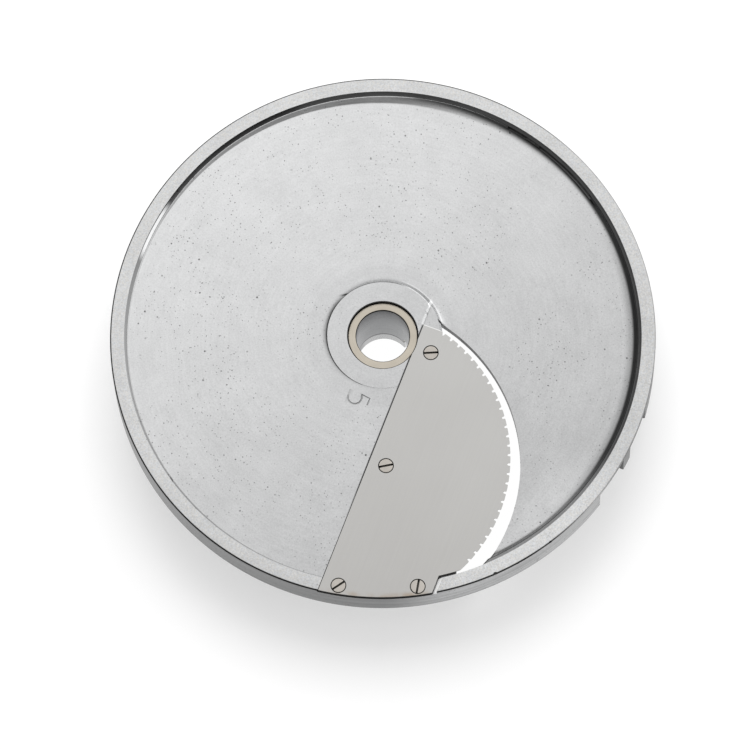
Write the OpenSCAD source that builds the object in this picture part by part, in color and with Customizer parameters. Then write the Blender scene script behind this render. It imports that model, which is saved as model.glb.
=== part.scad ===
// Serrated slicing disc of a vegetable preparation machine.
// A turned aluminium casting carries one thin serrated blade, held by four
// countersunk screws, and a steel bush that slides over the drive shaft.
// The disc lies level. Z = 0 is the end face of the hub, and the blade's
// straight back edge runs along Y. All sizes are in millimetres.

/* [Disc] */
// Outer diameter of the rim
disc_d = 205; // [200:1:212]
// Height from the end face of the hub to the top of the rim
disc_h = 37; // [34:0.5:42]
// Thickness of the cast plate
plate_t = 4; // [3:0.25:5]
// Slice thickness: how far the plate has fallen when it reaches the blade
slice = 5.1; // [3:0.1:6]
// Fine step between the top of the rim and the highest part of the plate
skin_step = 0.1; // [0.05:0.05:0.3]

/* [Rim] */
// Width of the flat band on top of the rim
rim_w = 5.4; // [5:0.1:7]
// Height of the outer wall
rim_h = 15; // [13:0.5:18]
// Width of the sloped edge inside the rim, above its inner wall
slope_w = 1.4; // [1:0.1:2]
// Height of that sloped edge
slope_h = 1.1; // [0.8:0.1:1.5]
// Chamfer on the outer edges of the rim
rim_chamfer = 0.7; // [0.3:0.1:1]

/* [Hub] */
// Diameter of the raised boss
hub_d = 42; // [40:0.5:46]
// Width of the boss's sloped side, down to the lowest part of the plate
boss_side_w = 2.4; // [1:0.1:3]
// Diameter of the hub at its end face
hub_end_d = 36; // [34:0.5:40]
// Height of the lip under the bush
lip_h = 6.6; // [5:0.2:8]
// Width of the slot for the drive pin
pin_slot_w = 6; // [4:0.25:8]
// Height of the slot for the drive pin
pin_slot_h = 11; // [9:0.25:13]
// Direction of the slot, in degrees from X
pin_slot_angle = 45; // [0:5:90]

/* [Bush] */
// Bore of the bush
bore_d = 20; // [18:0.1:21]
// Outer diameter of the bush
bush_d = 26.2; // [25:0.1:28]
// How far the bush lies below the top of the boss
bush_sink = 1.3; // [0.5:0.1:1.4]
// Chamfer at the mouth of the bore
bore_chamfer = 0.5; // [0.2:0.05:0.8]

/* [Blade] */
// Thickness of the blade
blade_t = 1.5; // [1.5:0.1:2]
// Distance of the straight back edge from the axis
blade_back = 13; // [12:0.1:14]
// Distance of the end beside the hub from the axis
blade_end = 9.3; // [8.5:0.1:10]
// Distance of the far end on the rim from the axis
blade_far = 52.9; // [50:0.1:55]
// Radius of the cutting edge, over the tips of the teeth
edge_r = 60.4; // [60:0.1:61.5]
// Centre of the cutting edge's arc, along X
edge_x = 5.23; // [5:0.01:6]
// Centre of the cutting edge's arc, along Y
edge_y = -49.41; // [-49.6:0.01:-49]
// Width of the ground bevel under the cutting edge
bevel_w = 3; // [1:0.25:4]
// Land left at the cutting edge by the bevel
edge_land = 0.3; // [0.2:0.05:0.6]

/* [Serration] */
// Angle from one notch to the next
notch_pitch = 3.53; // [3:0.01:4.5]
// Width of each notch
notch_w = 0.95; // [0.6:0.05:1.2]
// Depth of each notch
notch_depth = 1.1; // [0.8:0.05:1.4]
// Radius that opens the mouth of each notch
notch_mouth_r = 0.35; // [0.1:0.05:0.5]

/* [Throat] */
// Room between the cutting edge and the edge of the plate
throat_gap = 4.9; // [4:0.1:6]
// How far the throat's arc is moved back from the cutting edge's centre
throat_back = 0.7; // [0:0.05:1.5]
// How far it is moved towards the rim, which widens the gap there
throat_drop = 1.45; // [0:0.05:2]
// Width of the land that carries the blade, from its back edge
land_w = 14; // [12:0.25:17]
// Depth of metal under the blade's seat
land_t = 5.5; // [4:0.25:7]

/* [Screws] */
// Diameter of the screw heads
head_d = 5.8; // [5:0.1:6]
// Diameter of the screw shanks
shank_d = 3; // [2.5:0.1:3.5]
// Length of the screws, head included
screw_l = 8; // [6:0.5:9]
// Distance of the three screws on the land from the blade's back edge
screw_in = 6.4; // [5.5:0.1:7.5]
// Pitch of the two inner screws along the land
screw_pitch = 47.3; // [44:0.1:50]
// Distance of the two rim screws from the disc's outer edge
screw_rim = 3.5; // [3.2:0.1:4]
// Distance of the far rim screw from the far end of the blade
screw_far = 5.8; // [5:0.1:7]
// Width of the driver slot
slot_w = 0.8; // [0.6:0.1:1.2]
// Depth of the driver slot
slot_depth = 0.8; // [0.4:0.1:1]
// Diameter of the bosses under the screws
boss_d = 8.4; // [7:0.2:10]

/* [Pockets] */
// Radial depth of the two pockets in the outer wall
side_pocket_depth = 2.8; // [2:0.1:3.4]
// Angle that each of them takes
side_pocket_angle = 9.2; // [7:0.1:11]
// Angle of the lug between them
side_lug_angle = 3; // [2:0.1:5]
// Flange left over them at the top of the rim
flange_t = 1.3; // [1.2:0.1:2]
// Radial depth of the recess in the inner wall
inner_pocket_depth = 1.5; // [1:0.1:2]
// Lip left over it at the top of the rim
lip_t = 0.9; // [0.7:0.1:1.2]

/* [Ribs] */
// Thickness of the ribs under the plate
rib_t = 3; // [2:0.25:5]
// Depth of the ribs below the top of the rim
rib_depth = 13; // [10.5:0.5:14]

/* [Fits] */
// Gap along the blade's back edge and its far end
blade_fit = 0.25; // [0.1:0.05:0.4]
// Radial gap between the bush and its seat
bush_fit = 0.03; // [0.02:0.01:0.1]
// Gap round the screws
screw_fit = 0.05; // [0.02:0.01:0.1]
// Radial gap by which the lip clears the shaft
lip_fit = 0.3; // [0.1:0.05:0.5]
// Gap between the blade and the inner wall of the rim
rim_fit = 0.8; // [0.5:0.05:1]

/* [Hidden] */
$fn = 96;
over = 1;
disc_r = disc_d / 2;
rim_in_r = disc_r - rim_w;
wall_r = rim_in_r - slope_w;
rim_base = disc_h - rim_h;
hub_r = hub_d / 2;
bore_r = bore_d / 2;
bush_r = bush_d / 2;
seat_z = disc_h - blade_t;

// The blade's end towards the rim, and the outer arc of its foot, which
// stays just inside the rim's outer edge
foot_fit = 0.3;
blade_tip_r = rim_in_r - rim_fit;
blade_foot_r = disc_r - foot_fit;

// The plate falls clockwise from just behind the blade's back edge
ramp_start = 285.4;
ramp_sweep = 332;
ramp_power = 1.25;
plate_from = 310;
plate_to = -46;
plate_step = 8.9;
plate_root = 2;

// Angles of the cutting edge, seen from the centre of its arc
edge_from = asin((blade_end - edge_y) / edge_r);
edge_centre_r = norm([edge_x, edge_y]);
edge_centre_angle = atan2(edge_y, edge_x);
edge_to = edge_centre_angle
    + acos((blade_tip_r ^ 2 - edge_r ^ 2 - edge_centre_r ^ 2) / (2 * edge_r * edge_centre_r));
first_notch = 1.9;
notch_count = floor((edge_from - edge_to) / notch_pitch);
bevel_over = 2;

throat_r = edge_r + throat_gap;
throat_x = edge_x - throat_back;
throat_y = edge_y - throat_drop;

// The land reaches behind the blade's back edge, and stays inside the notches
land_behind = 8;
land_inset = 0.5;

// Screw places: two on the land, two on the rim
screw_y = -0.2;
screw_x = blade_back + screw_in;
screw_ring_r = disc_r - screw_rim;
far_screw_x = blade_far - screw_far;
screw_places = [
    [screw_x, screw_y],
    [screw_x, screw_y - screw_pitch],
    [screw_x, -sqrt(screw_ring_r ^ 2 - screw_x ^ 2)],
    [far_screw_x, -sqrt(screw_ring_r ^ 2 - far_screw_x ^ 2)]];
screw_turns = [24, 32, 55, 101];
hole_over = 0.5;

side_pocket_from = -13.6;
inner_pocket_from = 58.4;
inner_pocket_sweep = 25.5;
inner_lug_from = 75.4;
inner_lug_sweep = 3.5;
rib_angles = [58, 108, 158, 208, 252];

// Depth of the plate's top below the rim at an angle
function fall(a) = skin_step + slice * max(0, (ramp_start - a) / ramp_sweep) ^ ramp_power;

// Section of the plate at an angle, in radius and height. Its ends lie
// inside the hub and the rim.
function plate_section(a) = let(z = disc_h - fall(a))
    [[hub_r - plate_root, z - plate_t], [rim_in_r + plate_root, z - plate_t],
        [rim_in_r + plate_root, z], [hub_r - plate_root, z]];

// Plate swept clockwise round the axis, as one ring of sections
module plate() {
    angles = [for (a = [plate_from:-plate_step:plate_to]) a];
    sections = [for (a = angles) plate_section(a)];
    n = len(sections[0]);
    m = len(angles);
    points = [for (i = [0:m - 1], p = sections[i])
        [p[0] * cos(angles[i]), p[0] * sin(angles[i]), p[1]]];
    sides = [for (i = [0:m - 2], j = [0:n - 1]) let(
        a = i * n + j,
        b = i * n + (j + 1) % n)
        each [[a, b + n, b], [a, a + n, b + n]]];
    first = [for (j = [0:n - 1]) j];
    last = [for (j = [n - 1:-1:0]) (m - 1) * n + j];
    polyhedron(points, concat([first], sides, [last]), convexity = 8);
}

// Opening under and before the blade, through which the slices fall
module throat() {
    intersection() {
        translate([throat_x, throat_y, 0])
            cylinder(r = throat_r, h = disc_h + over);
        cylinder(r = rim_in_r, h = disc_h + over);
        difference() {
            translate([blade_back, -disc_r, 0])
                cube([disc_r, disc_d, disc_h + over]);
            land_block(over);
        }
    }
}

// Metal under the blade: a strip along its back edge, inside the teeth
module land_block(grow = 0) {
    intersection() {
        translate([blade_back - land_behind, -rim_in_r - over, seat_z - land_t - grow])
            cube([land_w + land_behind, rim_in_r + over + blade_end,
                land_t + 2 * grow + (grow > 0 ? disc_h : 0)]);
        translate([edge_x, edge_y, 0])
            cylinder(r = edge_r - notch_depth - land_inset, h = 2 * disc_h);
        cylinder(r = rim_in_r + over, h = 2 * disc_h);
    }
}

module rim() {
    rotate_extrude($fn = 180)
        polygon([
            [wall_r, rim_base],
            [disc_r - rim_chamfer, rim_base],
            [disc_r, rim_base + rim_chamfer],
            [disc_r, disc_h - rim_chamfer],
            [disc_r - rim_chamfer, disc_h],
            [rim_in_r, disc_h],
            [wall_r, disc_h - slope_h]]);
}

module hub() {
    cone_drop = 1.3;
    end_chamfer = 1;
    side_h = fall(plate_to);
    rotate_extrude()
        polygon([
            [bore_r + lip_fit, 0],
            [hub_end_d / 2 - end_chamfer, 0],
            [hub_end_d / 2, end_chamfer],
            [hub_r, disc_h - side_h - plate_t - cone_drop],
            [hub_r + boss_side_w, disc_h - side_h],
            [hub_r, disc_h],
            [bore_r + lip_fit, disc_h]]);
}

module ribs() {
    for (a = rib_angles)
        rotate([0, 0, a])
            translate([hub_r - plate_root, -rib_t / 2, disc_h - rib_depth])
                cube([wall_r - hub_r + plate_root + over, rib_t, rib_depth - fall(a) - plate_t / 2]);
}

module screw_bosses() {
    intersection() {
        for (p = screw_places)
            translate([p[0], p[1], seat_z - screw_l - over])
                cylinder(d = boss_d, h = screw_l + over);
        cylinder(r = rim_in_r + over, h = disc_h);
    }
}

// Seat milled for the blade, across the boss, the land and the rim
module blade_seat() {
    back = blade_back - blade_fit;
    far = blade_far + blade_fit;
    slope = 1.3;
    bevel = 0.6;
    translate([0, hub_r + 1, disc_h])
        rotate([90, 0, 0])
            linear_extrude(hub_r + 1 + disc_r + over)
                polygon([
                    [back, -blade_t],
                    [far, -blade_t],
                    [far + slope * (1 + over / blade_t), over],
                    [back, over]]);
    translate([0, hub_r + 1, disc_h])
        rotate([90, 0, 0])
            linear_extrude(hub_r + 1 - blade_end)
                polygon([
                    [back + over, -bevel],
                    [back, -bevel],
                    [back - bevel - over, over],
                    [back + over, over]]);
}

// Slot across the lip and the bush for the drive pin
module pin_slot() {
    rotate([0, 0, pin_slot_angle])
        translate([-bush_r, -pin_slot_w / 2, -over])
            cube([bush_d, pin_slot_w, pin_slot_h + over]);
}

// A cut round the axis between two angles
module arc_cut(from, sweep, r1, r2, z1, z2) {
    rotate([0, 0, from])
        rotate_extrude(angle = sweep, $fn = 180)
            polygon([[r1, z1], [r2, z1], [r2, z2], [r1, z2]]);
}

module side_pockets() {
    for (i = [0:1])
        arc_cut(side_pocket_from + i * (side_pocket_angle + side_lug_angle), side_pocket_angle,
            disc_r - side_pocket_depth, disc_r + over, rim_base - over, disc_h - flange_t);
}

module inner_pocket() {
    floor_z = disc_h - fall(inner_pocket_from + inner_pocket_sweep);
    first = inner_lug_from - inner_pocket_from;
    arc_cut(inner_pocket_from, first, wall_r - over, rim_in_r + inner_pocket_depth,
        floor_z, disc_h - lip_t);
    arc_cut(inner_lug_from + inner_lug_sweep, inner_pocket_sweep - first - inner_lug_sweep,
        wall_r - over, rim_in_r + inner_pocket_depth, floor_z, disc_h - lip_t);
}

module disc_casting() {
    color("gainsboro")
        difference() {
            union() {
                difference() {
                    union() {
                        plate();
                        rim();
                    }
                    throat();
                }
                hub();
                ribs();
                land_block();
                screw_bosses();
            }
            blade_seat();
            pin_slot();
            side_pockets();
            inner_pocket();
            translate([0, 0, lip_h])
                cylinder(r = bush_r + bush_fit, h = disc_h);
            cylinder(r = bore_r + lip_fit, h = disc_h);
            for (p = screw_places)
                translate([p[0], p[1], disc_h - screw_l - hole_over])
                    cylinder(d = shank_d + 2 * screw_fit, h = screw_l);
        }
}

module hub_bush() {
    top = disc_h - bush_sink;
    edge = 0.3;
    color("tan")
        difference() {
            rotate_extrude()
                polygon([
                    [bore_r, lip_h],
                    [bush_r, lip_h],
                    [bush_r, top - edge],
                    [bush_r - edge, top],
                    [bore_r + bore_chamfer, top],
                    [bore_r, top - bore_chamfer]]);
            pin_slot();
        }
}

// One notch with a round bottom and an opened mouth, at the top of its arc
module notch() {
    half = notch_w / 2;
    bottom = edge_r - notch_depth + half;
    mouth = edge_r - notch_mouth_r;
    linear_extrude(blade_t + 2 * over) {
        translate([bottom, 0])
            circle(r = half, $fn = 24);
        translate([bottom, -half])
            square([notch_depth + over, notch_w]);
        difference() {
            translate([mouth, -half - notch_mouth_r])
                square([notch_mouth_r + over, notch_w + 2 * notch_mouth_r]);
            for (s = [-1, 1])
                translate([mouth, s * (half + notch_mouth_r)])
                    circle(r = notch_mouth_r, $fn = 24);
        }
    }
}

module slicing_blade() {
    color("silver")
        translate([0, 0, seat_z])
            difference() {
                union() {
                    intersection() {
                        translate([edge_x, edge_y, 0])
                            cylinder(r = edge_r, h = blade_t, $fn = 180);
                        cylinder(r = blade_tip_r, h = blade_t, $fn = 180);
                        translate([blade_back, -disc_r, 0])
                            cube([disc_r, disc_r + blade_end, blade_t]);
                    }
                    intersection() {
                        cylinder(r = blade_foot_r, h = blade_t, $fn = 180);
                        translate([blade_back, -disc_r, 0])
                            cube([blade_far - blade_back, disc_r + edge_y, blade_t]);
                    }
                }
                translate([0, 0, -over])
                    cylinder(r = bush_r + blade_fit, h = blade_t + 2 * over);
                translate([edge_x, edge_y, -over])
                    for (i = [0:notch_count - 1])
                        rotate([0, 0, edge_from - first_notch - i * notch_pitch])
                            notch();
                translate([edge_x, edge_y, 0])
                    rotate([0, 0, edge_to - bevel_over])
                        rotate_extrude(angle = edge_from - edge_to + 2 * bevel_over, $fn = 180)
                            polygon([
                                [edge_r - bevel_w, -over],
                                [edge_r - bevel_w, 0],
                                [edge_r, blade_t - edge_land],
                                [edge_r + over, blade_t - edge_land],
                                [edge_r + over, -over]]);
                for (p = screw_places)
                    translate([p[0], p[1], 0])
                        countersink(screw_fit);
            }
}

// Round hole of a screw with its countersink, seen from the blade's seat
module countersink(gap) {
    translate([0, 0, -over])
        cylinder(d = shank_d + 2 * gap, h = blade_t + 2 * over);
    translate([0, 0, blade_t - head_h()])
        cylinder(d1 = shank_d + 2 * gap, d2 = head_d + 2 * gap, h = head_h());
}

function head_h() = min(blade_t - 0.1, (head_d - shank_d) / 2);

module blade_screws() {
    color("darkkhaki")
        for (i = [0:len(screw_places) - 1])
            translate([screw_places[i][0], screw_places[i][1], disc_h])
                rotate([0, 0, screw_turns[i]])
                    difference() {
                        union() {
                            translate([0, 0, -screw_l])
                                cylinder(d = shank_d, h = screw_l);
                            translate([0, 0, -head_h()])
                                cylinder(d1 = shank_d, d2 = head_d, h = head_h());
                        }
                        translate([-head_d, -slot_w / 2, -slot_depth])
                            cube([2 * head_d, slot_w, slot_depth + over]);
                    }
}

disc_casting();
hub_bush();
slicing_blade();
blade_screws();
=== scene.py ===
from math import acos, asin, atan2, cos, degrees, hypot, pi, radians, sin, sqrt, tau

import bmesh
import bpy
from mathutils import Matrix, Vector


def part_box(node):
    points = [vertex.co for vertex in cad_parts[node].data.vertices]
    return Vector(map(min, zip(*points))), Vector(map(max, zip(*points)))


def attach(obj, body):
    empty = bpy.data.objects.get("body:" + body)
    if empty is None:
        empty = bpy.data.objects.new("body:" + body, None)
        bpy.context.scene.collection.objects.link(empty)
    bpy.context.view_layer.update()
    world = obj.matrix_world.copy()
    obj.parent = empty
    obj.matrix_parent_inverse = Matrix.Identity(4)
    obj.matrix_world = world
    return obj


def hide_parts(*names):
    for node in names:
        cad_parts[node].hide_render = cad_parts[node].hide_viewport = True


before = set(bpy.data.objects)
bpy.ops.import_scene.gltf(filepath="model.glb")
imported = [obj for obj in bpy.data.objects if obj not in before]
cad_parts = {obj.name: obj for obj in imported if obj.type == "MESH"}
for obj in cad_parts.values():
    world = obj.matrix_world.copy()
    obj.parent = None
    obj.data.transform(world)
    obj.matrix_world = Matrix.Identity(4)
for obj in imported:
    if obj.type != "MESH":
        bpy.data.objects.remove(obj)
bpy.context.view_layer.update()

# Camera, taken from the photograph: a long lens 2.5 m away, looking down at the
# disc 17.6 degrees from the vertical. Pixels count from the top left corner.
image_px = 750
rim_centre_px = (382.7, 334.85)
px_per_metre = 2663
camera_distance = 2.5
camera_tilt = radians(17.58)
camera_roll = radians(-2.66)
photo_turn = Matrix.Rotation(radians(23.42), 3, "Z")
disc_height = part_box("disc_casting")[1].z

towards_camera = Vector((0, -sin(camera_tilt), cos(camera_tilt)))
level_up = towards_camera.cross(Vector((1, 0, 0)))
camera_right = Vector((cos(camera_roll), 0, 0)) + sin(camera_roll) * level_up
camera_up = Vector((-sin(camera_roll), 0, 0)) + cos(camera_roll) * level_up
focal_px = px_per_metre * camera_distance
off_right = (rim_centre_px[0] - image_px / 2) / focal_px
off_up = (image_px / 2 - rim_centre_px[1]) / focal_px
camera_place = camera_distance * (towards_camera - off_right * camera_right - off_up * camera_up)

lens = bpy.data.cameras.new("camera")
lens.sensor_width = 36
lens.lens = focal_px * lens.sensor_width / image_px
lens.clip_end = 100
camera = bpy.data.objects.new("camera", lens)
axes = [photo_turn @ axis for axis in (camera_right, camera_up, towards_camera)]
camera.matrix_world = (
    Matrix.Translation(photo_turn @ camera_place + Vector((0, 0, disc_height)))
    @ Matrix(axes).transposed().to_4x4())
bpy.context.scene.collection.objects.link(camera)
bpy.context.scene.camera = camera
bpy.context.scene.view_settings.view_transform = "Standard"


# Surfaces are written as node materials. An Amount is a number that varies over
# a surface, and plain arithmetic on amounts adds the nodes that work it out.
class Amount:
    def __init__(self, finish, socket):
        self.finish = finish
        self.socket = socket

    def math(self, operation, *terms):
        node = self.finish.node("ShaderNodeMath", {"operation": operation}, dict(enumerate(terms)))
        return Amount(self.finish, node.outputs[0])

    def __add__(self, other):
        return self.math("ADD", self, other)

    def __radd__(self, other):
        return self.math("ADD", other, self)

    def __sub__(self, other):
        return self.math("SUBTRACT", self, other)

    def __rsub__(self, other):
        return self.math("SUBTRACT", other, self)

    def __mul__(self, other):
        return self.math("MULTIPLY", self, other)

    def __rmul__(self, other):
        return self.math("MULTIPLY", other, self)

    def __truediv__(self, other):
        return self.math("DIVIDE", self, other)

    def __pow__(self, other):
        return self.math("POWER", self, other)

    def rise(self, low, high):
        """0 up to low and 1 from high on, with a soft step between them."""
        settings = {"interpolation_type": "SMOOTHSTEP"}
        values = {"Value": self, "From Min": low, "From Max": high}
        return Amount(self.finish, self.finish.node("ShaderNodeMapRange", settings, values).outputs[0])

    def band(self, low, high, edge):
        """1 between low and high, falling to 0 within edge outside them."""
        return self.rise(low - edge, low) * (1 - self.rise(high, high + edge))


# The nodes of one material or of the world, with the patterns used on this disc.
class Finish:
    def __init__(self, owner):
        owner.use_nodes = True
        self.owner = owner
        self.tree = owner.node_tree
        self.tree.nodes.clear()

    def node(self, kind, settings=None, values=None):
        node = self.tree.nodes.new(kind)
        for name, setting in (settings or {}).items():
            if name == "stops":
                self.set_stops(node.color_ramp.elements, setting)
            else:
                setattr(node, name, setting)
        for name, value in (values or {}).items():
            if isinstance(value, Amount):
                value = value.socket
            if isinstance(value, bpy.types.NodeSocket):
                self.tree.links.new(value, node.inputs[name])
            else:
                node.inputs[name].default_value = value
        return node

    def set_stops(self, elements, stops):
        for _ in stops[2:]:
            elements.new(0.5)
        for element, (position, colour) in zip(elements, stops):
            element.position = position
            element.color = colour

    def amount(self, kind, output, settings=None, values=None):
        return Amount(self, self.node(kind, settings, values).outputs[output])

    def place(self):
        """Object coordinates, and the distance from the disc's axis."""
        self.coords = self.node("ShaderNodeTexCoord")
        self.point = self.coords.outputs["Object"]
        parts = self.node("ShaderNodeSeparateXYZ", None, {0: self.point})
        self.x, self.y, self.z = [Amount(self, parts.outputs[i]) for i in range(3)]
        self.radius = (self.x * self.x + self.y * self.y).math("SQRT", self.x * self.x + self.y * self.y)
        normal = self.node("ShaderNodeSeparateXYZ", None, {0: self.coords.outputs["Normal"]})
        self.upward = Amount(self, normal.outputs[2])

    def vector(self, x, y, z):
        return self.node("ShaderNodeCombineXYZ", None, {0: x, 1: y, 2: z}).outputs[0]

    def cloud(self, size, detail=2.0, roughness=0.5, at=None):
        """Noise whose blobs are about size across, from 0 to 1."""
        values = {"Vector": at or self.point, "Scale": 1 / size, "Detail": detail, "Roughness": roughness}
        return self.amount("ShaderNodeTexNoise", "Fac", None, values)

    def turned(self, pitch, wander):
        """Fine rings round the axis, broken up every wander metres."""
        at = self.vector(self.x / wander, self.y / wander, (self.radius + self.z) / pitch)
        return self.cloud(1, 2.0, 0.6, at)

    def pits(self, cell, size, share):
        """Small round specks, in a share of the cells of a grid that is cell across."""
        values = {"Vector": self.point, "Scale": 1 / cell}
        spots = self.node("ShaderNodeTexVoronoi", None, values)
        chosen = self.node("ShaderNodeSeparateColor", None, {0: spots.outputs["Color"]})
        near = 1 - Amount(self, spots.outputs["Distance"]).rise(0.4 * size / cell, size / cell)
        return near * (1 - Amount(self, chosen.outputs[0]).rise(share - 0.01, share + 0.01))

    def mix(self, share, first, second, blend="MIX"):
        node = self.node("ShaderNodeMix", {"data_type": "RGBA", "blend_type": blend},
                         {0: share, 6: first, 7: second})
        return node.outputs[2]

    def metal(self, colour, roughness, height=None, strength=0.1, metallic=1.0):
        """Metal with that colour and roughness, and a bump of that height in metres."""
        values = {"Base Color": colour, "Roughness": roughness, "Metallic": metallic}
        if height is not None:
            bump = {"Height": height, "Strength": strength, "Distance": 0.0002}
            values["Normal"] = self.node("ShaderNodeBump", None, bump).outputs[0]
        shader = self.node("ShaderNodeBsdfPrincipled", None, values)
        self.node("ShaderNodeOutputMaterial", None, {0: shader.outputs[0]})
        return self.owner


# Studio: a pale floor, one soft lamp above the far side, and a sky that is
# bright overhead and dim behind the camera, as in a light tent with one open side.
def show(name, mesh):
    piece = bpy.data.objects.new(name, mesh)
    bpy.context.scene.collection.objects.link(piece)
    return piece


floor_size = 30
floor_mesh = bmesh.new()
bmesh.ops.create_grid(floor_mesh, x_segments=1, y_segments=1, size=floor_size,
                      matrix=Matrix.Translation((0, 0, -0.0001)))
floor = show("floor", bpy.data.meshes.new("floor"))
floor_mesh.to_mesh(floor.data)

paper = Finish(bpy.data.materials.new("floor_paper"))
paper_body = paper.node("ShaderNodeBsdfDiffuse", None, {"Color": (0.93, 0.93, 0.93, 1)})
paper_glow = paper.node("ShaderNodeEmission", None, {"Color": (1, 1, 1, 1), "Strength": 1.0})
ray = paper.node("ShaderNodeLightPath")
seen = Amount(paper, ray.outputs["Is Camera Ray"]).math(
    "MAXIMUM", Amount(paper, ray.outputs["Is Glossy Ray"]).math(
        "MAXIMUM", ray.outputs["Is Glossy Ray"], ray.outputs["Is Transmission Ray"]),
    ray.outputs["Is Camera Ray"])
paper.place()
# Painted light: the floor glows fully under the disc, so no shadow shows through its openings, and half as much outside
# it, where the disc's shadow shows.
share = 0.5 + 0.5 * (1 - paper.radius.rise(0.086, 0.098))
paper_mix = paper.node("ShaderNodeMixShader", None,
                       {0: seen * share, 1: paper_body.outputs[0], 2: paper_glow.outputs[0]})
paper.node("ShaderNodeOutputMaterial", None, {0: paper_mix.outputs[0]})
floor.data.materials.append(paper.owner)

sky = Finish(bpy.data.worlds.new("studio"))
bpy.context.scene.world = sky.owner
sky_way = sky.node("ShaderNodeTexCoord").outputs["Generated"]
overhead, beside = [
    sky.amount("ShaderNodeVectorMath", "Value", {"operation": "DOT_PRODUCT"},
               {0: sky_way, 1: (photo_turn @ Vector(aim)).normalized()})
    for aim in ((0.1, 0.55, 0.83), (0.95, 0.1, 0.25))]
sky_level = 0.16 + 0.82 * overhead.rise(0.2, 0.8) + 0.95 * beside.rise(0.78, 0.95)
sky_light = sky.node("ShaderNodeBackground", None, {"Color": (1, 1, 1, 1), "Strength": sky_level})
sky.node("ShaderNodeOutputWorld", None, {0: sky_light.outputs[0]})

lamp_aim = (photo_turn @ Vector((0.02, 0.42, 0.9))).normalized()
lamp_distance = 1.6
soft_lamp = bpy.data.lights.new("soft_lamp", "AREA")
soft_lamp.size = 1.0
soft_lamp.energy = 18
lamp = bpy.data.objects.new("soft_lamp", soft_lamp)
lamp.matrix_world = Matrix.Translation(lamp_aim * lamp_distance) @ lamp_aim.to_track_quat("Z", "Y").to_matrix().to_4x4()
lamp.visible_glossy = False
bpy.context.scene.collection.objects.link(lamp)


# Casting: one piece of cast aluminium, turned on its rim and boss. The plate
# falls round the axis like one turn of a shallow screw, from flush with the rim
# behind the blade to a slice's thickness before its teeth.
disc_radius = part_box("disc_casting")[1].y
rim_width = 0.0054
rim_inside = disc_radius - rim_width
rim_height = 0.015
rim_edge = 0.0006
slope_width = 0.0014
slope_height = 0.0011
wall_inside = rim_inside - slope_width
plate_thickness = 0.004
slice_thickness = 0.0051
skin_step = 0.0001
ramp_start = 285.4
ramp_sweep = 332
ramp_power = 1.25
ramp_end = -50
boss_radius = 0.021
boss_round = 0.005
boss_flare = 0.0024
seat_radius = 0.01313
lip_radius = 0.0103
lip_height = 0.0066
hub_end_radius = 0.018
hub_cone_top = 0.0265
turn_steps = 360


def plate_fall(angle):
    """How far the plate lies below the rim at an angle from +X, in degrees."""
    if angle < ramp_end:
        angle += 360
    return skin_step + slice_thickness * (max(0, ramp_start - angle) / ramp_sweep) ** ramp_power


def arc(centre, reach, start, end, steps):
    """Points on a quarter of an ellipse in the section, from start to end degrees."""
    turns = [radians(start + (end - start) * i / steps) for i in range(steps + 1)]
    return [(centre[0] + reach[0] * cos(t), centre[1] + reach[1] * sin(t)) for t in turns]


def casting_section(fall):
    """The casting's section where the plate lies that far below the rim: (radius, height)."""
    top = disc_height
    plate = top - fall
    under = plate - plate_thickness
    base = top - rim_height
    slope = min(slope_height, 0.8 * fall)
    ledge = rim_inside - slope_width * slope / slope_height - 0.00005
    foot = (min(0.0029, 1.9 * (fall - slope)), fall - slope)
    bowed = min(1, max(0, (fall - 0.0024) / 0.0008))
    wall = [(ledge - foot[0] * (t + bowed * (1 - cos(t * tau / 4) - t)),
             top - slope - foot[1] * (t + bowed * (sin(t * tau / 4) - t)))
            for t in [i / 8 for i in range(9)]]
    boss_edge = min(0.00015, 0.3 * fall)
    boss_height = fall - boss_edge
    boss_foot = boss_radius + sqrt(boss_height * (2 * boss_round - boss_height))
    boss_turn = degrees(acos(1 - boss_height / boss_round))
    flare = min(boss_flare, 0.8 * (under - hub_cone_top))
    return [
        *arc((disc_radius - rim_edge, top - rim_edge), (rim_edge, rim_edge), 0, 90, 3),
        (rim_inside + 0.0001, top),
        (rim_inside, top - 0.08 * slope),
        (ledge + 0.00005, top - slope),
        *wall,
        (ledge - foot[0] - 0.0005, plate),
        (0.075, plate),
        (0.05, plate),
        (boss_foot + 0.0005, plate),
        *arc((boss_foot, plate + boss_round), (boss_round, boss_round), -90, -90 - boss_turn, 6),
        (boss_radius - boss_edge, top),
        (seat_radius + 0.0003, top),
        (seat_radius, top - 0.0003),
        (seat_radius, lip_height),
        (lip_radius, lip_height),
        (lip_radius, 0.0003),
        (lip_radius + 0.0003, 0),
        (hub_end_radius - 0.001, 0),
        (hub_end_radius, 0.001),
        (boss_radius, hub_cone_top),
        *arc((boss_radius + boss_flare, under - flare), (boss_flare, flare), 180, 90, 4),
        *arc((wall_inside - 0.001, under - 0.001), (0.001, 0.001), 90, 0, 3),
        (wall_inside, base + 0.0005),
        (wall_inside + 0.0005, base),
        (disc_radius - 0.0007, base),
        (disc_radius, base + 0.0007)]


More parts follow.
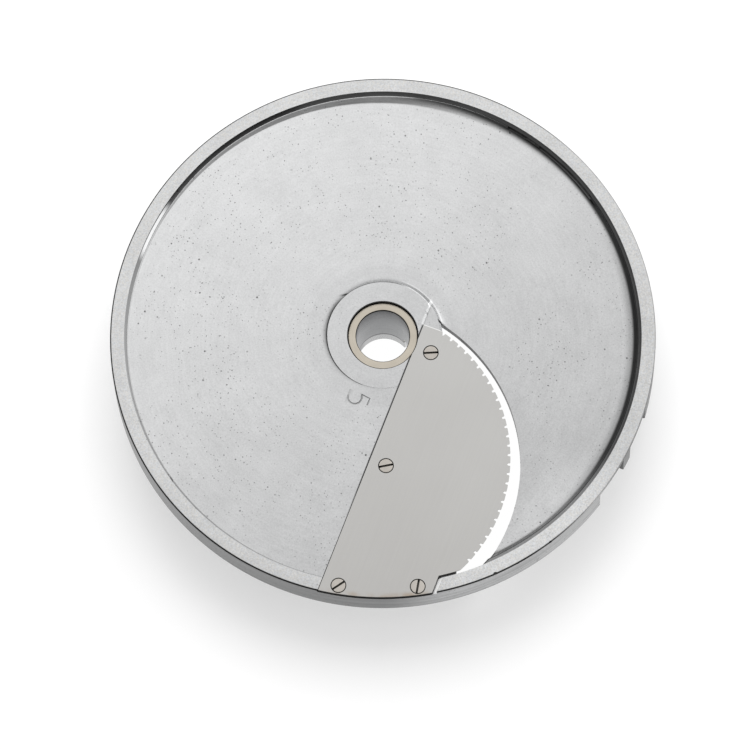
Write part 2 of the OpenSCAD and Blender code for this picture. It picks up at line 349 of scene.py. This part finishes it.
def spun_casting():
    """The section spun round the axis, then set to the plate's height at each angle."""
    mesh = bmesh.new()
    mark = mesh.verts.layers.int.new("section point")
    ring = []
    for index, (radius, height) in enumerate(casting_section(slice_thickness)):
        point = mesh.verts.new((radius, 0, height))
        point[mark] = index
        ring.append(point)
    edges = [mesh.edges.new((ring[i - 1], ring[i])) for i in range(len(ring))]
    bmesh.ops.spin(mesh, geom=ring + edges, cent=(0, 0, 0), axis=(0, 0, 1), dvec=(0, 0, 0),
                   angle=tau, steps=turn_steps, use_merge=True, use_duplicate=False)
    for point in mesh.verts:
        turn = atan2(point.co.y, point.co.x)
        radius, height = casting_section(plate_fall(degrees(turn)))[point[mark]]
        point.co = (radius * cos(turn), radius * sin(turn), height)
    bmesh.ops.triangulate(mesh, faces=mesh.faces)
    bmesh.ops.recalc_face_normals(mesh, faces=mesh.faces)
    return mesh


def made(name, mesh):
    """A shown object from a finished bmesh."""
    piece = show(name, bpy.data.meshes.new(name))
    mesh.to_mesh(piece.data)
    mesh.free()
    return piece


def drum(radius, low, high, at=(0, 0), steps=180):
    mesh = bmesh.new()
    bmesh.ops.create_cone(mesh, cap_ends=True, segments=steps, radius1=radius, radius2=radius,
                          depth=high - low, matrix=Matrix.Translation((*at, (low + high) / 2)))
    return made("drum", mesh)


def block(low, high, turn=0):
    low, high = Vector(low), Vector(high)
    mesh = bmesh.new()
    bmesh.ops.create_cube(mesh, size=1, matrix=Matrix.Rotation(radians(turn), 4, "Z")
                          @ Matrix.Translation((low + high) / 2) @ Matrix.Diagonal((*(high - low), 1)))
    return made("block", mesh)


def work(piece, operation, tools):
    """Adds the tools to the piece, cuts them off it, or keeps what is inside them."""
    group = bpy.data.collections.new("tools")
    for tool in tools:
        group.objects.link(tool)
    modifier = piece.modifiers.new("work", "BOOLEAN")
    modifier.operation = operation
    modifier.operand_type = "COLLECTION"
    modifier.collection = group
    modifier.solver = "EXACT"
    bpy.context.view_layer.update()
    shaped = bpy.data.meshes.new_from_object(
        piece.evaluated_get(bpy.context.evaluated_depsgraph_get()))
    piece.modifiers.clear()
    piece.data = shaped
    for tool in tools:
        bpy.data.objects.remove(tool)
    bpy.data.collections.remove(group)
    return piece


blade_thickness = 0.0015
blade_back = 0.013
blade_end = 0.0093
blade_far = 0.0529
blade_fit = 0.00025
teeth_centre = (0.00523, -0.04941)
teeth_radius = 0.0604
throat_centre = (0.00453, -0.05086)
throat_radius = 0.0653
boss_keep = 0.02245
tip_floor = ((0.05, -0.1, -0.01), (0.0583, -0.076, 0.0352))
land_width = 0.014
land_depth = 0.0055
screw_length = 0.008
screw_boss = 0.0042
screw_places = [(0.0194, -0.0002), (0.0194, -0.0475), (0.0194, -0.09708), (0.0471, -0.08708)]
rib_angles = (58, 108, 158, 208, 252)
rib_thickness = 0.003
rib_depth = 0.013
seat_height = disc_height - blade_thickness
above = disc_height + 0.002

casting = made("disc_casting_body", spun_casting())

throat = drum(throat_radius, -0.001, above, throat_centre)
work(throat, "INTERSECT", [drum(rim_inside + 0.00018, -0.002, above + 0.001, steps=turn_steps)])
work(throat, "INTERSECT", [block((blade_back, -0.12, -0.003), (0.12, 0.12, above + 0.002))])
work(throat, "DIFFERENCE", [drum(boss_keep, -0.002, above + 0.001)])
work(throat, "DIFFERENCE", [block(*tip_floor)])
work(casting, "DIFFERENCE", [throat])

under_seat = seat_height + 0.0007
land = block((blade_back - 0.008, -rim_inside - 0.001, seat_height - land_depth),
             (blade_back + land_width, blade_end, under_seat))
work(land, "INTERSECT", [drum(teeth_radius - 0.0016, 0, above, teeth_centre)])
work(land, "INTERSECT", [drum(rim_inside + 0.001, 0, above)])
work(land, "DIFFERENCE", [drum(seat_radius + 0.001, 0, above)])
for at in screw_places:
    lump = drum(screw_boss, seat_height - screw_length - 0.001, under_seat - 0.0002, at, 48)
    work(lump, "INTERSECT", [drum(rim_inside + 0.0013, 0, above)])
    work(land, "UNION", [lump])
ribs = [block((boss_radius - 0.002, -rib_thickness / 2, disc_height - rib_depth),
              (rim_inside + 0.001, rib_thickness / 2,
               disc_height - plate_fall(angle) - plate_thickness / 2), angle)
        for angle in rib_angles]
work(casting, "UNION", [land, *ribs])


def groove(points, start, length):
    """A cutter with that section in X and Z, running back along Y from start."""
    mesh = bmesh.new()
    face = mesh.faces.new([mesh.verts.new((x, start, z)) for x, z in points])
    pulled = bmesh.ops.extrude_face_region(mesh, geom=[face])["geom"]
    bmesh.ops.translate(mesh, vec=(0, -length, 0),
                        verts=[v for v in pulled if isinstance(v, bmesh.types.BMVert)])
    bmesh.ops.recalc_face_normals(mesh, faces=mesh.faces)
    return made("groove", mesh)


def arc_cut(start, sweep, radii, heights):
    """A cutter with a rectangular section, swept round the axis from start."""
    mesh = bmesh.new()
    corners = [(radii[0], heights[0]), (radii[1], heights[0]),
               (radii[1], heights[1]), (radii[0], heights[1])]
    face = mesh.faces.new([mesh.verts.new((r, 0, z)) for r, z in corners])
    bmesh.ops.rotate(mesh, verts=mesh.verts, matrix=Matrix.Rotation(radians(start), 3, "Z"))
    bmesh.ops.spin(mesh, geom=[face, *face.edges, *face.verts], cent=(0, 0, 0), axis=(0, 0, 1),
                   dvec=(0, 0, 0), angle=radians(sweep), steps=max(2, round(sweep)),
                   use_merge=False, use_duplicate=False)
    bmesh.ops.recalc_face_normals(mesh, faces=mesh.faces)
    return made("arc_cut", mesh)


seat_slope = 0.0013
seat_back = blade_back - blade_fit
seat_far = blade_far + blade_fit
seat_bevel = 0.0009
rise = 0.001
seat = groove([(seat_back, seat_height), (seat_far, seat_height),
               (seat_far + seat_slope * (1 + rise / blade_thickness), disc_height + rise),
               (seat_back, disc_height + rise)], boss_radius + 0.001, 0.13)
seat_chamfer = groove([(seat_back + rise, disc_height - seat_bevel), (seat_back, disc_height - seat_bevel),
                       (seat_back - seat_bevel - rise, disc_height + rise),
                       (seat_back + rise, disc_height + rise)],
                      0.0174, 0.0174 - blade_end)

pin_slot_angle = 45
pin_slot_width = 0.006
pin_slot_height = 0.011
bush_radius = 0.0131


def pin_slot():
    return block((-bush_radius, -pin_slot_width / 2, -0.001),
                 (bush_radius, pin_slot_width / 2, pin_slot_height), pin_slot_angle)


side_pocket_start = -16.8
side_pocket_sweep = 9.2
side_lug_sweep = 3
inner_pockets = ((55.5, 17.0), (76.0, 5.0))
pocket_floor = disc_height - plate_fall(81)
pockets = [arc_cut(side_pocket_start + i * (side_pocket_sweep + side_lug_sweep), side_pocket_sweep,
                   (disc_radius - 0.0028, disc_radius + 0.001), (0.021, disc_height - 0.0013))
           for i in range(2)]
pockets += [arc_cut(start, sweep, (wall_inside - 0.0005, rim_inside + 0.0015),
                    (pocket_floor, disc_height - 0.0009)) for start, sweep in inner_pockets]
nick_places = [(disc_radius * cos(radians(turn)), disc_radius * sin(radians(turn)), radius)
               for turn, radius in ((-45.0, 0.0008), (-39.7, 0.0004), (-31.6, 0.0005))]
nicks = [drum(radius, disc_height - 0.0007, above, (x, y), 12) for x, y, radius in nick_places]
screw_holes = [drum(0.00155, seat_height - screw_length + 0.001, above, at, 32) for at in screw_places]

digit_middle = (-0.00105, -0.0265)
digit_bowl = 0.0026
digit_height = disc_height - plate_fall(272)
digit_strokes = [
    [(0.0044, -0.0279), (0.0044, -0.0251), (0.0008, -0.02466)],
    [(digit_middle[0] + digit_bowl * cos(radians(a)), digit_middle[1] + digit_bowl * sin(radians(a)))
     for a in range(35, -190, -12)]]


def stroke_cut(points):
    """A cutter that runs along those points at the plate's height."""
    line = bpy.data.curves.new("stroke", "CURVE")
    line.dimensions = "3D"
    line.bevel_depth = 0.0003
    line.bevel_resolution = 1
    line.use_fill_caps = True
    spline = line.splines.new("POLY")
    spline.points.add(len(points) - 1)
    for point, (x, y) in zip(spline.points, points):
        point.co = (x, y, digit_height, 1)
    curve = show("stroke_curve", line)
    bpy.context.view_layer.update()
    mesh = bmesh.new()
    mesh.from_mesh(bpy.data.meshes.new_from_object(
        curve.evaluated_get(bpy.context.evaluated_depsgraph_get())))
    bpy.data.objects.remove(curve)
    bmesh.ops.remove_doubles(mesh, verts=mesh.verts, dist=1e-6)
    bmesh.ops.triangulate(mesh, faces=mesh.faces)
    bmesh.ops.recalc_face_normals(mesh, faces=mesh.faces)
    return made("stroke_cutter", mesh)


digit = [stroke_cut(points) for points in digit_strokes]

work(casting, "DIFFERENCE", [seat, seat_chamfer, pin_slot(), *pockets, *nicks, *screw_holes, *digit])
merge_distance = 1e-6
clean = bmesh.new()
clean.from_mesh(casting.data)
bmesh.ops.remove_doubles(clean, verts=clean.verts, dist=merge_distance)
bmesh.ops.dissolve_degenerate(clean, edges=clean.edges, dist=merge_distance)
clean.to_mesh(casting.data)
clean.free()
casting.data.shade_smooth()
casting.data.set_sharp_from_angle(angle=radians(32))

cast = Finish(bpy.data.materials.new("cast_aluminium"))
cast.place()
top_face = cast.z.rise(disc_height - 0.0012, disc_height - 0.0004)
on_rim = cast.radius.rise(rim_inside + 0.0001, rim_inside + 0.0004) * top_face
on_boss = 1 - cast.radius.rise(boss_radius + 0.006, boss_radius + 0.009)
outer = cast.radius.rise(disc_radius - 0.0004, disc_radius - 0.0002)
steep = 1 - cast.upward.math("ABSOLUTE", cast.upward).rise(0.75, 0.998)

mottle = cast.cloud(0.022, 3, 0.55) * 0.6 + cast.cloud(0.006, 3, 0.6) * 0.4 - 0.5
grain = cast.cloud(0.0006, 2, 0.6) - 0.5
rings = cast.turned(0.0011, 0.012) - 0.5
skirt_lines = cast.cloud(1, 2, 0.6, cast.vector(cast.x / 0.05, cast.y / 0.05, cast.z / 0.0012)) - 0.5
clusters = cast.cloud(0.03, 2, 0.5).rise(0.35, 0.6)
specks = (cast.pits(0.0052, 0.0005, 0.5) + cast.pits(0.0023, 0.00036, 0.5) * 0.8
          + cast.pits(0.0013, 0.00028, 0.6) * 0.7) * (0.12 + 0.88 * clusters) * (1 - 0.7 * on_rim)
# Painted light: the casting is lighter towards +Y and -X, as if lit from that side, and less so on the rim.
painted_light_gradient = (0.8 * cast.y - 1.1 * cast.x) * (1 - 0.6 * on_rim)
tone = 0.68 + painted_light_gradient + 0.28 * mottle + 0.09 * rings + (0.25 + 0.2 * on_rim) * grain
tone = tone * (1 + 0.01 * on_rim) * (1 - 0.04 * on_boss) * (1 - 0.8 * specks)


def towards(angle, low, high):
    """1 on the side of the disc that lies in that direction, from the cosines low to high."""
    side = (cos(radians(angle)) * cast.x + sin(radians(angle)) * cast.y) / cast.radius
    return side.rise(low, high)


# Painted shade: steep faces are darkened by an amount that depends on which way they face, on the boss and on the rim's
# walls, and a little less on the outer skirt.
boss_shade = 0.12 + 0.6 * towards(223, 0.3, 0.7)
wall_shade = 0.77 + 0.21 * towards(150, 0.9, 0.97) + 0.04 * towards(5, 0.85, 0.97) - 0.45 * towards(-38, 0.85, 0.97)
depth = on_boss * boss_shade + (1 - on_boss) * wall_shade - 0.18 * outer
# Painted shade on the steep wall cut along the throat in front of the blade.
throat_reach = ((cast.x - throat_centre[0]) ** 2 + (cast.y - throat_centre[1]) ** 2) ** 0.5
throat_wall_shade = throat_reach.rise(throat_radius - 0.0006, throat_radius - 0.0003) * (
    1 - throat_reach.rise(throat_radius + 0.0003, throat_radius + 0.0006)) * steep * (
    1 - cast.radius.rise(rim_inside, rim_inside + 0.0003))
tone = tone * (1 - depth * steep) * (1 + 0.9 * outer * skirt_lines) * (1 - 0.9 * throat_wall_shade)

# Painted shade: a dark line along the rim's outer top edge, left out on the right side where that edge catches light,
# and a dark line at the boss's edge.
rim_edge_shade = cast.radius.rise(disc_radius - 0.0006, disc_radius - 0.0004) * cast.z.rise(disc_height - 0.0008, disc_height - 0.0006)
boss_line_shade = cast.radius.rise(boss_radius - 0.0003, boss_radius - 0.00015) * (
    1 - cast.radius.rise(boss_radius + 0.00015, boss_radius + 0.0003)) * steep
tone = tone * (1 - 0.9 * rim_edge_shade * (1 - towards(23, 0.5, 0.8))) * (1 - 0.6 * boss_line_shade)


def gap(low, high, soft=0.0001):
    """1 where x is between low and high."""
    return cast.x.rise(low - soft, low) * (1 - cast.x.rise(high, high + soft))


# Painted shade in the gaps: the blade's seat below its top, the gap at the blade's tip, and the seat wall round the
# bush.
below_top = 1 - cast.z.rise(disc_height - 0.0003, disc_height - 0.0001)
seat_gap_shade = gap(blade_back - 0.0003, blade_far + 0.0001) * (
    1 - cast.y.rise(blade_end + 0.0001, blade_end + 0.0003)) * (
    cast.z.rise(seat_height - 0.0006, seat_height - 0.0004) * below_top)
tip_gap_shade = gap(blade_far, tip_floor[1][0] + 0.0003) * cast.radius.rise(0.096, 0.0962) * (
    1 - cast.radius.rise(0.0976, 0.0978)) * (1 - cast.z.rise(seat_height - 0.0002, seat_height - 0.0001))
bush_seat_shade = cast.z.rise(0.02, 0.021) * (1 - cast.radius.rise(seat_radius + 0.00005, seat_radius + 0.0002))
near_light = towards(-35, 0.88, 0.98) * cast.radius.rise(0.074, 0.093) * (1 - steep)
tone = tone * (1 + 0.18 * near_light)
# Painted shade inside the small nicks in the rim's outer edge.
for x, y, radius in nick_places:
    apart = ((cast.x - x) ** 2 + (cast.y - y) ** 2) ** 0.5
    nick_shade = (1 - apart.rise(radius, radius + 0.0002)) * cast.z.rise(disc_height - 0.0009, disc_height - 0.0007)
    tone = tone * (1 - 0.85 * nick_shade)
# Painted shade: a dark line at the ledge of the rim's inner wall on the right half, dark patches in the inner pockets,
# and a soft shade on the plate at the wall's foot.
ledge_shade_line = cast.radius.rise(wall_inside - 0.0002, wall_inside - 0.0001) * (
    1 - cast.radius.rise(wall_inside + 0.0002, wall_inside + 0.0004)) * (
    cast.z.rise(disc_height - 0.002, disc_height - 0.0015) * towards(5, 0, 0.3)) * (
    1 - cast.z.rise(disc_height - 0.0009, disc_height - 0.0007))
pocket_shade = cast.radius.rise(wall_inside - 0.0007, wall_inside - 0.0006) * (
    1 - cast.radius.rise(rim_inside + 0.0016, rim_inside + 0.0018)) * (
    1 - cast.z.rise(disc_height - 0.002, disc_height - 0.0015)) * towards(68.2, 0.965, 0.972)
foot_shade = cast.radius.rise(wall_inside - 0.0048, wall_inside - 0.0022) * (
    1 - cast.z.rise(disc_height - 0.0012, disc_height - 0.0008)) * towards(10, 0.75, 0.95) * (1 - outer)
tone = tone * (1 - 0.75 * pocket_shade) * (1 - 0.28 * foot_shade)
# Painted shade: the hub's lip inside the bore is darker.
bore_lip_shade = 1 - cast.radius.rise(lip_radius + 0.0002, lip_radius + 0.0004)
tone = tone * (1 - 0.75 * ledge_shade_line) * (1 - 0.3 * bore_lip_shade)
# Painted shade: a dark strip on the plate along the blade's back edge, and darker grooves in the engraved digit.
back_edge_shade = gap(blade_back - 0.0005, blade_back - 0.0002) * cast.y.rise(-0.08, -0.05) * (
    1 - cast.y.rise(blade_end - 0.001, blade_end)) * top_face
digit_shade = cast.x.rise(-0.00405, -0.0040) * (1 - cast.x.rise(0.0048, 0.005)) * (
    cast.y.rise(-0.0298, -0.0296) * (1 - cast.y.rise(-0.0242, -0.024))) * (
    1 - cast.z.rise(digit_height - 0.00012, digit_height - 0.00006)) * top_face
tone = tone * (1 - 0.92 * (seat_gap_shade + bush_seat_shade)) * (1 - 0.8 * tip_gap_shade) * (1 - 0.75 * back_edge_shade) * (1 - 0.3 * digit_shade)
# Painted highlights: bright lines on the edges of the blade's seat, a spot on the rim's wall and lines on the boss's
# far side, pulled towards white and made less metallic.
ground_edge_highlight = gap(blade_back - 0.0014, blade_back - 0.0004) * steep * on_boss * cast.y.rise(blade_end - 0.0004, blade_end)
far_edge_highlight = gap(blade_far + 0.0004, blade_far + 0.0016) * steep * (1 - cast.y.rise(-0.075, -0.07)) * cast.z.rise(seat_height, seat_height + 0.0002)
wall_glint = towards(175, 0.99, 0.998) * steep * cast.radius.rise(rim_inside - 0.0013, rim_inside - 0.0011) * (
    1 - cast.radius.rise(rim_inside - 0.0003, rim_inside - 0.0001))
boss_dots = cast.pits(0.0016, 0.0004, 0.6)
boss_glint = (cast.radius.rise(boss_radius - 0.0003, boss_radius) * (
    1 - cast.radius.rise(boss_radius + 0.0003, boss_radius + 0.0006)) * (1 - boss_dots) * 0.8
    + cast.radius.rise(boss_radius + 0.0015, boss_radius + 0.0019) * (
    1 - cast.radius.rise(boss_radius + 0.0021, boss_radius + 0.0025)) * 0.6) * towards(62, 0.82, 0.95) * steep
painted_glints = 0.6 * ground_edge_highlight + far_edge_highlight + wall_glint + boss_glint
tone = tone + painted_glints * (0.92 - tone)

speckle = cast.mix(cast.cloud(0.0008, 2, 0.6).rise(0.3, 0.7), (1, 0.985, 0.955, 1), (0.955, 0.975, 1, 1))
shade = cast.mix(tone, (0, 0, 0, 1), cast.mix(on_rim, (0.99, 0.995, 1, 1), speckle))
casting.data.materials.clear()
casting.data.materials.append(cast.metal(
    shade, 0.40 - 0.12 * on_boss * steep + 0.20 * mottle + 0.10 * grain,
    grain * 0.5 + rings * 0.4 - specks * 1.5, 0.25, 1 - 0.8 * painted_glints))
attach(casting, "root")
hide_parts("disc_casting")


# Bush: a turned steel sleeve pressed into the hub. It slides over the drive
# shaft, and a slot across its lower end takes the drive pin.
bore_radius = 0.01
bush_top = disc_height - 0.0013
bore_round = 0.0005
bush_round = 0.0003


def spun(name, points, steps=180):
    """A closed section of (radius, height) points, spun once round the axis."""
    mesh = bmesh.new()
    ring = [mesh.verts.new((r, 0, z)) for r, z in points]
    edges = [mesh.edges.new((ring[i - 1], ring[i])) for i in range(len(ring))]
    bmesh.ops.spin(mesh, geom=ring + edges, cent=(0, 0, 0), axis=(0, 0, 1), dvec=(0, 0, 0),
                   angle=tau, steps=steps, use_merge=True, use_duplicate=False)
    bmesh.ops.remove_doubles(mesh, verts=mesh.verts, dist=1e-7)
    bmesh.ops.recalc_face_normals(mesh, faces=mesh.faces)
    return made(name, mesh)


bush = spun("hub_bush_body", [
    (bore_radius + 0.0003, lip_height), (bush_radius, lip_height),
    *arc((bush_radius - bush_round, bush_top - bush_round), (bush_round, bush_round), 0, 90, 3),
    *arc((bore_radius + bore_round, bush_top - bore_round), (bore_round, bore_round), 90, 180, 4),
    (bore_radius, lip_height + 0.0003)])
work(bush, "DIFFERENCE", [pin_slot()])
bush.data.shade_smooth()
bush.data.set_sharp_from_angle(angle=radians(32))

sleeve = Finish(bpy.data.materials.new("turned_bush_steel"))
sleeve.place()
rings = sleeve.turned(0.0002, 0.02)
patches = sleeve.cloud(0.006, 2, 0.5)
inside = 1 - sleeve.radius.rise(bore_radius + 0.00015, bore_radius + 0.0003)
# Painted reflection: the rounded top edges of the bush are painted almost black, except where a painted highlight runs
# along one side of the bore's edge.
edges = sleeve.z.rise(bush_top - 0.001, bush_top - 0.0008) * (1 - sleeve.upward.rise(0.8, 0.97))
sleeve_colour = sleeve.mix(patches * 0.5 + rings * 0.5, (0.46, 0.42, 0.355, 1), (0.70, 0.64, 0.545, 1))
# Painted shade: the bore is much darker than the sleeve, and darker still towards its top.
bore_shaded_colour = sleeve.mix(0.3 + patches * 0.5 + rings * 0.4 - 0.5 * sleeve.z.rise(0.02, 0.036), (0.13, 0.13, 0.135, 1), (0.25, 0.255, 0.26, 1))
sleeve_colour = sleeve.mix(inside, sleeve_colour, bore_shaded_colour)
# Painted shade: a dark band at the bush's foot, where it meets the hub's lip.
foot_gap_shade = 1 - sleeve.z.rise(lip_height + 0.0012, lip_height + 0.0016)
sleeve_colour = sleeve.mix(0.8 * foot_gap_shade, sleeve_colour, (0.02, 0.02, 0.02, 1))
glint = (-0.41 * sleeve.x - 0.91 * sleeve.y).rise(0.0095, 0.0098) * (1 - sleeve.radius.rise(0.0108, 0.011))
sleeve_colour = sleeve.mix(edges * (0.9 - 0.9 * glint), sleeve_colour, (0.02, 0.02, 0.02, 1))
bush.data.materials.clear()
bush.data.materials.append(sleeve.metal(sleeve_colour, 0.24 + 0.10 * rings, rings, 0.15))
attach(bush, "root")
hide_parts("hub_bush")


# Blade: thin stainless steel, cut to a crescent with a serrated edge and laid
# flush in its seat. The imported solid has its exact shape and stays.
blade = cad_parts["slicing_blade"]
steel = Finish(bpy.data.materials.new("satin_blade_steel"))
steel.place()
along = steel.vector(steel.x / 0.0004, steel.y / 0.03, steel.z / 0.0004)
brushed = steel.cloud(1, 2, 0.6, along)
smudge = steel.cloud(0.03, 2, 0.5)
lit = 0.5 + 4.5 * (steel.y + 0.06) + 0.5 * (smudge - 0.5) + 0.35 * (brushed - 0.5)
steel_colour = steel.mix(lit, (0.485, 0.475, 0.46, 1), (0.61, 0.605, 0.59, 1))
# Painted shade: the countersinks round the screws and the blade's outer side face are painted almost black.
countersink_shade = steel.upward.rise(0.2, 0.3) * (1 - steel.upward.rise(0.85, 0.95))
outer_side_shade = steel.radius.rise(disc_radius - 0.001, disc_radius - 0.0005) * (1 - steel.upward.rise(0.3, 0.5))
stain = steel.radius.rise(0.1, 0.1022) * steel.cloud(0.008, 3, 0.6).rise(0.35, 0.7)
steel_colour = steel.mix(0.9 * stain, steel_colour, (0.42, 0.35, 0.28, 1))
steel_colour = steel.mix(0.95 * (countersink_shade + outer_side_shade), steel_colour, (0.02, 0.02, 0.02, 1))
# Painted highlight: a bright line along the blade's end near the hub.
end_highlight = steel.y.rise(blade_end - 0.0004, blade_end - 0.0002)
steel_colour = steel.mix(0.8 * end_highlight, steel_colour, (0.98, 0.98, 0.97, 1))
satin = steel.metal(steel_colour, 0.27 + 0.10 * smudge + 0.05 * brushed, brushed, 0.06)
blade.data.materials.clear()
blade.data.materials.append(satin)


# Screws: four turned steel screws with countersunk heads, driven flush with the
# blade. Two sit on the land beside the hub and two on the rim.
head_radius = 0.00265
shank_radius = 0.0015
head_depth = 0.0013
driver_slot = (0.0008, 0.0008)
screw_turns = (24, 32, 55, 101)

brass_grey = Finish(bpy.data.materials.new("turned_screw_steel"))
brass_grey.place()
screw_grain = brass_grey.cloud(0.0006, 2, 0.6)
screw_patch = brass_grey.cloud(0.003, 2, 0.5)
screw_colour = brass_grey.mix(screw_grain * 0.4 + screw_patch * 0.6, (0.44, 0.41, 0.37, 1), (0.66, 0.62, 0.57, 1))
# Painted shade: the driver slots, everything below the blade's top and the rounded edge of each head are painted almost
# black.
sunk_parts_shade = 1 - brass_grey.z.rise(disc_height - 0.0004, disc_height - 0.0002)
head_edge_shade = 1 - brass_grey.upward.rise(0.7, 0.97)
screw_colour = brass_grey.mix(0.93 * sunk_parts_shade.math("MAXIMUM", sunk_parts_shade, head_edge_shade), screw_colour, (0.02, 0.018, 0.015, 1))
screw_steel = brass_grey.metal(screw_colour, 0.28 + 0.10 * screw_patch, screw_grain, 0.12)

for number, ((x, y), turn) in enumerate(zip(screw_places, screw_turns), 1):
    head_round = 0.0002
    screw = spun(f"blade_screw_{number}", [
        (0, disc_height), (head_radius - 0.001, disc_height),
        *arc((head_radius - head_round, disc_height - head_round), (head_round, head_round), 90, 0, 2),
        (shank_radius, disc_height - head_depth), (shank_radius, disc_height - screw_length + 0.0004),
        (shank_radius - 0.0004, disc_height - screw_length), (0, disc_height - screw_length)], 64)
    work(screw, "DIFFERENCE", [block((-0.005, -driver_slot[0] / 2, disc_height - driver_slot[1]),
                                     (0.005, driver_slot[0] / 2, above))])
    screw.data.transform(Matrix.Translation((x, y, 0)) @ Matrix.Rotation(radians(turn), 4, "Z"))
    screw.data.shade_smooth()
    screw.data.set_sharp_from_angle(angle=radians(32))
    screw.data.materials.clear()
    screw.data.materials.append(screw_steel)
    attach(screw, "root")
    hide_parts("blade_screws")
